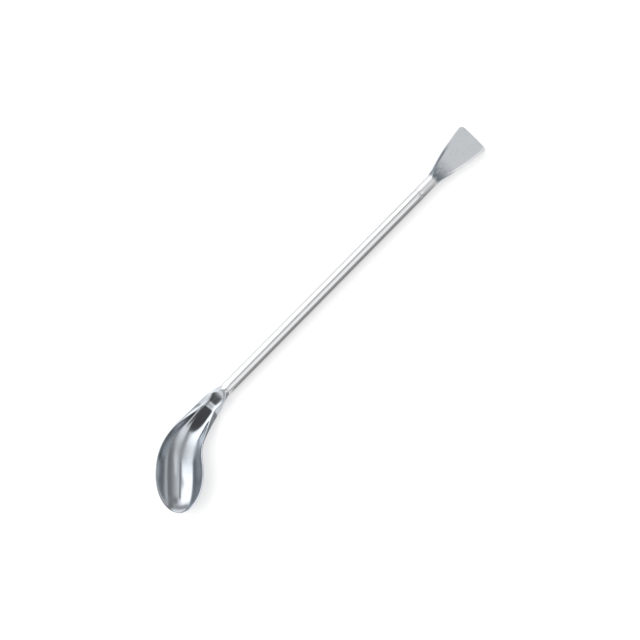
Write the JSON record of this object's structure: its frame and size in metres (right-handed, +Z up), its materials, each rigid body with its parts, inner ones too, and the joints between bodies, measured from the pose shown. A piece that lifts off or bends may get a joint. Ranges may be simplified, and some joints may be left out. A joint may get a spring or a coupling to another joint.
{
  "type": "lab spatula",
  "caption": "Forged steel lab spatula: a slim round rod ends in a spoon bowl turned to the side and in a flat flared blade, for scooping and scraping powder.",
  "frame": {"origin": "on the resting surface, under the middle of the spatula's outline seen from above", "axes": "+X along the rod towards the blade, +Z up out of the bowl's hollow, the bowl turned towards -Y"},
  "size_m": [0.18, 0.0288, 0.0067],
  "materials": {
    "steel": "buffed stainless steel, bright on the rod and in the bowl, satin on the blade's flats"
  },
  "bodies": {
    "root": {"spatula": "steel"}
  },
  "joints": []
}
